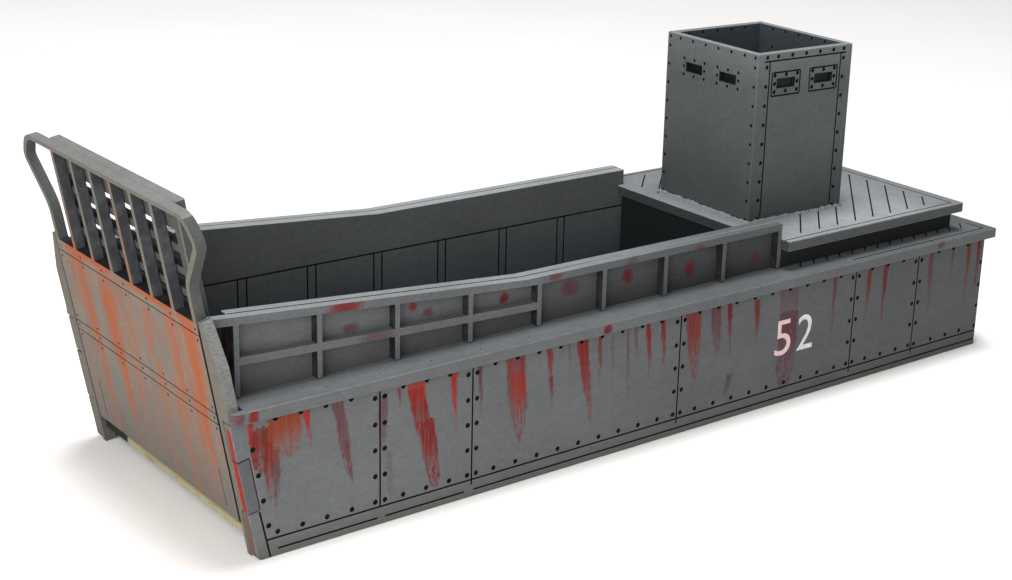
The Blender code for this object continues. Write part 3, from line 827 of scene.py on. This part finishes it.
hullSide("hull_side_port", 1, portPaint)
hullSide("hull_side_starboard", -1, starboardPaint)
print("hull sides cut")


transomLook = {
    "panelLines": [-20, 20],
    "rowPositions": [-33.3, -26.7, -13.3, -6.7, 0, 6.7, 13.3, 26.7, 33.3],
}


def transomBoard():
    board = dressedBoard("transom", transomPaint, hullEdge)
    low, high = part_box("transom")
    face = faceAt((low.x / mm - sternX, 0, 0), (0, -1, 0), (-1, 0, 0))
    past, chine = high.y / mm + 1, hullLook["chine"]
    lines = [((-past, chine), (past, chine))]
    lines += [((y, chine), (y, hullLook["lineTop"])) for y in transomLook["panelLines"]]
    row = [(y, hullLook["rowHeight"]) for y in transomLook["rowPositions"]]
    engrave(board, face, lines, row + columnPits(transomLook["panelLines"]))


transomBoard()


# Decks: a border line, and planks drawn at 45 degrees
deckLook = {
    "aftBorderX": (1.5, 60),
    "aftBorderY": (36.8, 43.2),
    "tickEnd": (7.2, 39.4),  # where the planks beside the engine block end
    "tickReach": 3.6,
    "tickPitch": 5.45,
    "tickCount": 14,
    "dotStart": 89.9,
    "dotPitch": 14.65,
    "dotCount": 11,
    "dotY": 42.1,
    "dotWidth": 0.55,
    "plankEnd": (21.9, 36.1),
    "plankPitch": 7.65,
    "plankCount": 8,
    "farPlanks": 10,  # those that start ahead of the tower's stern wall
    "farPlankY": (-12, -22),  # a far plank that would reach past the first starts at the second
    "plankAft": 15,
    "plankMargin": 2.6,
    "shortestPlank": 3,
    "borderY": 38.7,
    "borderAft": 12.4,
    "borderMargin": 2.2,
}


def mainDeck():
    board = dressedBoard("main_deck", deckPaint, deckEdge, weld=0.25)
    face = faceAt((0, 0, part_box("main_deck")[1].z / mm), (1, 0, 0), (0, 0, 1))
    lines, dots = [], []
    (aft, fore), (near, far) = deckLook["aftBorderX"], deckLook["aftBorderY"]
    (endX, endY), reach = deckLook["tickEnd"], deckLook["tickReach"]
    for side in (-1, 1):
        lines += [((aft, side * far), (fore, side * far)), ((aft, side * near), (aft, side * far))]
        for n in range(deckLook["tickCount"]):
            x = endX + n * deckLook["tickPitch"]
            lines.append(((x - reach, side * (endY - reach)), (x, side * endY)))
        for n in range(deckLook["dotCount"]):
            dots.append((deckLook["dotStart"] + n * deckLook["dotPitch"], side * deckLook["dotY"]))
    engrave(board, face, lines, dots, deckLook["dotWidth"])
    paintFaces(board, deckSidePaint, lambda f: abs(f.normal.z) < 0.5)


def upperDeck():
    board = dressedBoard("upper_deck", upperDeckLitPaint, upperEdge)
    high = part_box("upper_deck")[1]
    face = faceAt((0, 0, high.z / mm), (1, 0, 0), (0, 0, 1))
    edge, aft = deckLook["borderY"], deckLook["borderAft"]
    fore = high.x / mm - sternX - deckLook["borderMargin"]
    border = [((aft, -edge), (aft, edge))] + [((aft, y), (fore, y)) for y in (-edge, edge)]
    engrave(board, face, border)
    endX, endY = deckLook["plankEnd"]
    limit, start = deckLook["farPlankY"]
    planks = []
    for n in range(deckLook["plankCount"] + deckLook["farPlanks"]):
        x = endX + n * deckLook["plankPitch"]
        length = min(x - deckLook["plankAft"], 2 * endY)
        cut = max(0, x - fore + deckLook["plankMargin"])
        if n >= deckLook["plankCount"] and endY - cut > limit:
            cut = endY - start
        if length - cut > deckLook["shortestPlank"]:
            planks.append(((x - length, endY - length), (x - cut, endY - cut)))
    for group in (planks[::2], planks[1::2]):
        carve(board, [grooveOn(face, *plank) for plank in group])
    # painted shade on the deck's side and forward faces
    paintFaces(board, upperSideShadedPaint, lambda f: abs(f.normal.z) < 0.5)
    paintFaces(board, upperForeShadedPaint, lambda f: f.normal.x > 0.8)


mainDeck()
upperDeck()
print("decks cut")


# Bulwarks: a level line and pairs of upright lines inside
wallLook = {
    "innerY": 31.75,
    "lineEnds": (84, 258.5),
    "lineHeight": 40.5,
    "pairs": [218.1, 196.7, 175.2, 153.35, 131.35, 109.4],
    "pairOffset": 1.35,
    "pairFoot": 9,
    "railAbove": 51,
}


def bulwarks():
    aft, fore = wallLook["lineEnds"]
    foot, height, offset = wallLook["pairFoot"], wallLook["lineHeight"], wallLook["pairOffset"]
    for side, name in ((1, "port"), (-1, "starboard")):
        wall = dressedBoard("well_wall_" + name, innerPaint, darkEdge)
        face = faceAt((0, side * wallLook["innerY"], 0), (side, 0, 0), (0, -side, 0))
        lines = [((side * aft, height), (side * fore, height))]
        for x in wallLook["pairs"]:
            for line in (side * (x - offset), side * (x + offset)):
                lines.append(((line, foot), (line, height)))
        engrave(wall, face, lines)

        paintFaces(wall, panelPaint, lambda f: f.normal.y * side > 0.8)
        # the rail top a painted highlight, with painted light and shadow along the seam
        paintFaces(wall, railTopLitPaint, lambda f: f.normal.z > 0.6)
        paintFaces(wall, seamLitAndShadowedPaint, lambda f: f.normal.z > 0.6 and f.normal.y * side > 0.3)
        paintFaces(wall, burnt, lambda f: abs(f.normal.x) > 0.8)
        lattice = dressedBoard("bulwark_lattice_" + name, latticePaint, brightEdge)
        rail = wallLook["railAbove"]
        # laser burn on the cut edges and painted shade under the rails; the rail top a painted
        # highlight, with painted light and shadow along the seam
        paintFaces(lattice, sootAndShade, lambda f: abs(f.normal.x) > 0.5 or f.normal.z < -0.5)
        paintFaces(lattice, railTopLitPaint, lambda f: f.normal.z > 0.6 and f.centre.z > rail)
        paintFaces(lattice, seamLitAndShadowedPaint, lambda f: f.normal.z > 0.6 and f.normal.y * side < -0.3)


bulwarks()
print("bulwarks cut")


# Tower: rivets round every wall, a level line and two boxed slits on the side walls
towerLook = {
    "size": (37.4, 40.1),
    "slitOffset": 7.45,
    "slitHeight": 87.9,
    "box": (5.5, 84.3, 91.1),  # half width, foot and top of the box round a slit
    "slitHalf": (12, 1.6),  # reach of both slits from the wall's middle, and half a slit's height
    "levelLine": (16.4, 94.6),
    "uprightLines": (14.1, 47),
    "bowRivets": (4.6, 2.4, 1.15),  # pitch along and up round a slit, and width
    "sideRivets": (4.4, 2.4, 1.45),
    "topRow": 95.8,
    "bowTopRow": [-18.7, -14.2, -8.5, -2.8, 2.8, 8.5, 14.2, 18.7],
    "bowColumn": 18.8,
    "sideTopRow": [-15.2, -11, -5.5, 0, 5.5, 11, 15.2],
    "sideColumn": 15.25,
    "columnHeights": (93, 5.62, 9),  # top, pitch and count
    "wall": 2,
    "innerPitWidth": 1,
    "innerPits": [(-12.1, 96), (-6.6, 96), (-0.8, 96), (4.9, 96), (10.5, 96), (-12, 90.5)],
    "rimAbove": 96.3,
}


def slitRivets(along, rise):
    around = [(u, v) for u in (-1, 0, 1) for v in (-1, 0, 1) if u or v]
    middle, height = towerLook["slitOffset"], towerLook["slitHeight"]
    return [(side * middle + u * along, height + v * rise) for side in (-1, 1) for u, v in around]


def towerWall(name, direction, halfDepth, topRow, column, lines, rivets):
    outward = towerTurn @ Vector((*direction, 0))
    across = towerTurn @ Vector((-direction[1], direction[0], 0))
    slit, rim = towerLook["slitHeight"], towerLook["rimAbove"]
    board = dressedBoard("tower_wall_" + name, towerPaint, brightEdge)
    top, pitch, count = towerLook["columnHeights"]
    pits = [(u, towerLook["topRow"]) for u in topRow]
    pits += [(side * column, top - n * pitch) for side in (-1, 1) for n in range(count)]
    along, rise, pitWidth = rivets
    face = faceAt(towerMiddle + outward * halfDepth, across, outward)
    engrave(board, face, lines, pits + slitRivets(along, rise), pitWidth)
    inside = faceAt(towerMiddle + outward * (halfDepth - towerLook["wall"]), -across, -outward)
    engrave(board, inside, (), towerLook["innerPits"], towerLook["innerPitWidth"])

    def inSlit(f):
        reach, rise = towerLook["slitHalf"]
        near = abs((f.centre - towerMiddle).dot(across)) < reach and abs(f.centre.z - slit) < rise
        return near and abs(f.normal.dot(outward)) < 0.95

    paintFaces(board, towerPaint, lambda f: f.corner and f.centre.z < rim)
    # painted shade inside the tower and in the slits, a painted highlight on the rim
    paintFaces(board, towerInsideShade, lambda f: f.normal.dot(outward) < -0.8)
    paintFaces(board, towerRimHighlight, lambda f: f.normal.z > 0.6 and f.centre.z > rim)
    paintFaces(board, slitPaintedShade, inSlit)


def tower():
    length, breadth = towerLook["size"]
    half, foot, top = towerLook["box"]
    (end, level), (upright, low) = towerLook["levelLine"], towerLook["uprightLines"]
    lines = [((-end, level), (end, level))]
    lines += [((u, low), (u, level)) for u in (-upright, upright)]
    for middle in (-towerLook["slitOffset"], towerLook["slitOffset"]):
        lines += [((middle - half, z), (middle + half, z)) for z in (foot, top)]
        lines += [((u, foot), (u, top)) for u in (middle - half, middle + half)]
    row, column, rivets = towerLook["sideTopRow"], towerLook["sideColumn"], towerLook["sideRivets"]
    bow = (length / 2, towerLook["bowTopRow"], towerLook["bowColumn"], (), towerLook["bowRivets"])
    side = (breadth / 2, row, column, lines, rivets)
    towerWall("bow", (1, 0), *bow)
    towerWall("stern", (-1, 0), *bow)
    towerWall("port", (0, 1), *side)
    towerWall("starboard", (0, -1), *side)


tower()
print("tower cut")


# Ramp: its own face is drawn up from the bottom edge
rampLines = {
    "width": 0.26,
    "pitWidth": 0.85,
    "end": 38.5,
    "level": [49, 29.3, 26.6],
    "pitch": 12.15,
    "rows": [50.4, 47.6, 30.7, 28, 25.2],
    "notch": (32.5, 2.8, 13),
    "panelTop": 52,
    "outerFin": 28,
    "ears": 33,
}


def rampFace():
    outward = (math.cos(bowRake), 0, -math.sin(bowRake))
    return faceAt((rampFoot[0], 0, rampFoot[1]), (0, 1, 0), outward)


def rampBoards():
    panel = dressedBoard("ramp_panel", rampPaint, hullEdge, "ramp")
    face = rampFace()
    notch, low, high = rampLines["notch"]
    end = rampLines["end"]
    lines = [((-end, s), (end, s)) for s in rampLines["level"]]
    lines += [((y, low), (y, high)) for y in (-notch, notch)]
    pits = [(rampLines["pitch"] * n, s) for n in range(-3, 4) for s in rampLines["rows"]]
    engrave(panel, face, lines, pits, rampLines["pitWidth"], rampLines["width"])
    panelTop = rampFoot[1] + rampLines["panelTop"] * math.cos(bowRake)
    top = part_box("ramp_panel")[1].z / mm
    up = Vector((math.sin(bowRake), 0, math.cos(bowRake)))

    def panelSide(f):
        return abs(f.normal.y) > 0.6 and f.centre.z < panelTop + 1

    def finSide(f):
        inner = abs(f.centre.y) < rampLines["outerFin"]
        return abs(f.normal.y) > 0.6 and inner and f.centre.z > panelTop

    def betweenFins(f):
        return f.normal.dot(up) > 0.8 and abs(f.centre.z - panelTop) < 1.5

    def earSide(f):
        outer = abs(f.centre.y) > rampLines["ears"]
        return f.normal.x < 0.6 and outer and f.centre.z > panelTop + 1

    def topEdge(f):
        return f.normal.dot(up) > 0.9 and f.centre.z > top - 1.5

    paintFaces(panel, rampPaint, lambda f: f.corner and f.normal.x > 0.2)
    paintFaces(panel, rampBackPaint, lambda f: f.normal.x < -0.8)
    # painted shade in the gap beside the post, laser burn and painted shade between the fins, a
    # painted highlight on the top edge
    for paint, chosen in ((rampSidePaint, panelSide), (finEdge, finSide), (sootAndShade, betweenFins),
                          (earSidePaint, earSide), (rampTopLitPaint, topEdge)):
        paintFaces(panel, paint, chosen)
    pickOnly(panel)
    bpy.ops.object.shade_smooth_by_angle(angle=math.radians(24))

    def slotEdge(f):
        return abs(f.normal.dot(up)) > 0.5 and f.centre.z < top - 3

    def plateTop(f):
        return f.normal.dot(up) > 0.6 and f.centre.z > top - 2

    plate = dressedBoard("ramp_grille_plate", platePaint, hullEdge, "ramp")
    # the slots' edges dark, the plate's top a painted highlight
    paintFaces(plate, sootAndShade, slotEdge)
    paintFaces(plate, rampTopLitPaint, plateTop)


rampBoards()
print("ramp cut")


def aboveDeck(f):
    # the side of a post above the deck
    return abs(f.normal.y) > 0.3 and f.centre.z > hullLook["ridgesAbove"] and f.normal.x < 0.5


def plainBoards():
    for name in ("port", "starboard"):
        post = dressedBoard("bow_post_" + name, postPaint, hullEdge)
        paintFaces(post, bowFacePaint, lambda f: f.normal.x > 0.8)
        paintFaces(post, ridges, aboveDeck)
    for name in ("port", "starboard", "stern"):
        dressedBoard("engine_wall_" + name, engineWallPaint, darkEdge)
    dressedBoard("aft_bulkhead", bulkheadPaint, darkEdge)
    floor = dressedBoard("well_floor", floorPaint, darkEdge)
    paintFaces(floor, bareEdge, lambda f: f.normal.x > 0.3)


plainBoards()
bpy.data.objects.remove(grooveCutter)
bpy.data.objects.remove(pitCutter)


# Glue and filler
fillerLook = {
    "spacing": 0.9,
    "radius": (0.6, 1.2),
    "squash": (0.45, 0.75),
    "spread": (0, 0.45),
    "foot": 47.4,
    "voxel": 0.2,
    "seamInset": 2.15,  # from the end of a side wall
    "seamHeights": (47.8, 96.7),
    "seamDepth": 0.9,
    "foreSeam": (0.38, 0.02),  # half width, and how far it lies below the wall's face
    "aftSeam": (0.14, 0.16),
    "rampSeam": ((-33.1, 76), (33.1, 78.86), -3.05, -2.25),  # two corners and two depths
    "floorLip": ((-38.2, 0), (38.2, 2.3), -0.3, 1.3),
    "corners": (0.04, 0.06, 0.12),  # rounding of the tower's seams, the ramp's seam and the lip
}


def strip(face, corner, opposite, low, high):
    # a bar between two corners on a drawing plane, from one depth to another
    bpy.ops.mesh.primitive_cube_add(size=1)
    piece = bpy.context.object
    a, b = Vector((*corner, low)), Vector((*opposite, high))
    piece.matrix_world = face @ Matrix.Translation((a + b) / 2) @ Matrix.Diagonal((*(b - a), 1))
    return piece


def addedPiece(parts, name, material, body="hull", corner=0, segments=1):
    piece = joined(parts, name)
    if corner:
        applied(piece, "BEVEL", width=corner * mm, segments=segments)
    setMaterials(piece, material)
    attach(piece, body)
    return piece


def fillerSeams():
    # the tower's forward seams are filled flush, its aft seams a little low
    length, breadth = towerLook["size"]
    foot, top = fillerLook["seamHeights"]
    pieces = []
    for side in (1, -1):
        outward = towerTurn @ Vector((0, side, 0))
        across = towerTurn @ Vector((-side, 0, 0))
        face = faceAt(towerMiddle + outward * (breadth / 2), across, outward)
        seam = side * -(length / 2 - fillerLook["seamInset"])
        for middle, kind in ((seam, "foreSeam"), (-seam, "aftSeam")):
            half, below = fillerLook[kind]
            corners = ((middle - half, foot), (middle + half, top))
            pieces.append(strip(face, *corners, -fillerLook["seamDepth"], -below))
    corner = fillerLook["corners"][0]
    addedPiece(pieces, "tower-seam-filler", towerPaint, corner=corner)


def rampSeam():
    bar, corner = strip(rampFace(), *fillerLook["rampSeam"]), fillerLook["corners"][1]
    addedPiece([bar], "ramp-seam-glue", rampTopLitPaint, "ramp", corner)


def footFiller():
    # lumpy filler round the tower's foot, pushed in with a finger
    dice = random.Random(11)
    length, breadth = towerLook["size"]
    corners = [(1, 1), (1, -1), (-1, -1), (-1, 1)]
    lumps = []
    for (ax, ay), (bx, by) in zip(corners, corners[1:] + corners[:1]):
        a = Vector((ax * length / 2, ay * breadth / 2, 0))
        b = Vector((bx * length / 2, by * breadth / 2, 0))
        steps = int((b - a).length / fillerLook["spacing"])
        outward = Vector((ax + bx, ay + by, 0)).normalized()
        for n in range(steps + 1):
            radius = dice.uniform(*fillerLook["radius"])
            spot = a.lerp(b, n / steps) + outward * dice.uniform(*fillerLook["spread"])
            spot = towerTurn @ spot + towerMiddle + Vector((0, 0, fillerLook["foot"]))
            place = {"radius": radius * mm, "location": at(*spot)}
            bpy.ops.mesh.primitive_ico_sphere_add(subdivisions=2, **place)
            lump = bpy.context.object
            lump.scale.z = dice.uniform(*fillerLook["squash"])
            lumps.append(lump)
    bead = joined(lumps, "tower-foot-filler")
    applied(bead, "REMESH", mode="VOXEL", voxel_size=fillerLook["voxel"] * mm)
    applied(bead, "SMOOTH", iterations=8, factor=0.5)
    bpy.ops.object.shade_smooth()
    addedPiece([bead], bead.name, fillerPaint)


def floorLip():
    # the floor board's bare front edge, under the ramp's bottom edge and clear of its swing
    low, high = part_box("well_floor")
    face = faceAt((high.x / mm - sternX, 0, low.z / mm), (0, 1, 0), (1, 0, 0))
    edge, corner = strip(face, *fillerLook["floorLip"]), fillerLook["corners"][2]
    addedPiece([edge], "floor-front-lip", bareEdge, corner=corner, segments=2)


fillerSeams()
rampSeam()
footFiller()
floorLip()
print("filler added")


# Number on the port side
numberLook = {
    "digits": [("5", 87.4, 14.9), ("2", 78.4, 14.9)],  # digit, middle x, foot z
    "height": 10.6,
    "breadth": 6.2,
    "thickness": 0.06,
    "lift": 0.01,
    "weight": -0.002,
}


def numberPaint():
    shader = Shader("number_paint")
    thin = shader.noise((1, 1, 2.2), 4, 0.65)
    paint = shader.blend(thin.ease(0.3, 0.62), (0.4, 0.42, 0.42), (0.6, 0.62, 0.62))
    stain = shader.x.ease(82.4, 83.6) * thin.ease(0.2, 0.6, 0.7, 1)
    paint = shader.blend(stain * 0.75, paint, (0.62, 0.36, 0.38))
    return shader.finish(paint, thin * 0.2 + 0.5, thin, 0.03)


def hullNumber():
    paint = numberPaint()
    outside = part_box("hull_side_port")[1].y / mm + numberLook["lift"]
    for n, (digit, x, foot) in enumerate(numberLook["digits"]):
        bpy.ops.object.text_add()
        text = bpy.context.object
        text.data.body = digit
        text.data.offset = numberLook["weight"]
        text.data.extrude = 0.5
        bpy.ops.object.convert(target="MESH")
        text = bpy.context.object
        low, high = Vector(text.bound_box[0]), Vector(text.bound_box[6])
        wanted = [numberLook[side] * mm for side in ("breadth", "height", "thickness")]
        size = Matrix.Diagonal((*(want / (b - a) for want, a, b in zip(wanted, low, high)), 1))
        centre = Matrix.Translation((-(low.x + high.x) / 2, -low.y, -low.z))
        face = faceAt((x, outside, foot), (-1, 0, 0), (0, 1, 0)) @ Matrix.Scale(1 / mm, 4)
        text.data.transform(face @ size @ centre)
        text.data.update()
        addedPiece([text], "hull-number-%d" % (n + 1), paint)


hullNumber()
print("number painted")


# Studio: pale paper, a broad lamp overhead and one ahead of the bow
studioLook = {
    "cameraPlace": (429.7, 367.8, 192.6),
    "cameraTarget": (109.14, -25.5, 25.5),
    "roll": 1.99,
    "lens": 62.29,
    "shift": (-0.0659, -0.021),
    "floorWidth": 9000,
    "paper": ((0.91, 0.885, 0.86), (0.93, 0.91, 0.89)),
    "air": 0.23,
    "airColour": (0.96, 0.98, 1),
    "lamps": {  # place, aim, width in metres, watts, colour
        "bow_lamp": ((620, 330, 260), (150, 0, 30), 0.55, 4.4, (1, 0.99, 0.975)),
        "top_lamp": ((140, -60, 1600), (130, 0, 40), 0.6, 26.5, (0.97, 0.985, 1)),
    },
}


def photoCamera():
    eye, target = at(*studioLook["cameraPlace"]), at(*studioLook["cameraTarget"])
    bpy.ops.object.camera_add(location=eye)
    camera = bpy.context.object
    camera.name = "photo_camera"
    camera.data.lens = studioLook["lens"]
    camera.data.sensor_width = 36
    camera.data.shift_x, camera.data.shift_y = studioLook["shift"]
    camera.data.clip_start, camera.data.clip_end = 0.01, 100
    look = (target - eye).normalized()
    right = look.cross(Vector((0, 0, 1))).normalized()
    turn = Matrix((right, right.cross(look), -look)).transposed().to_4x4()
    roll = Matrix.Rotation(math.radians(studioLook["roll"]), 4, "Z")
    camera.matrix_world = Matrix.Translation(eye) @ turn @ roll
    bpy.context.scene.camera = camera


def studio():
    bpy.ops.mesh.primitive_plane_add(size=studioLook["floorWidth"] * mm)
    floor = bpy.context.object
    floor.name = "floor"
    shader = Shader("floor_paper")
    drift = shader.noise((160, 160, 160))
    paint = shader.blend(drift.ease(0.3, 0.7), *studioLook["paper"])
    fibre = shader.noise((0.8, 0.8, 0.8))
    setMaterials(floor, shader.finish(paint, 0.8, fibre, 0.02))

    world = bpy.data.worlds.new("studio_air")
    world.use_nodes = True
    background = world.node_tree.nodes["Background"]
    background.inputs["Color"].default_value = (*studioLook["airColour"], 1)
    background.inputs["Strength"].default_value = studioLook["air"]
    bpy.context.scene.world = world

    for name, (spot, aim, width, power, colour) in studioLook["lamps"].items():
        bpy.ops.object.light_add(type="AREA", location=at(*spot))
        lamp = bpy.context.object
        lamp.name = name
        lamp.data.shape = "DISK"
        lamp.data.size = width
        lamp.data.energy = power
        lamp.data.color = colour
        lamp.rotation_euler = (at(*aim) - at(*spot)).to_track_quat("-Z", "Y").to_euler()

    view = bpy.context.scene.view_settings
    view.view_transform, view.look = "Standard", "None"


photoCamera()
studio()
print("studio set")
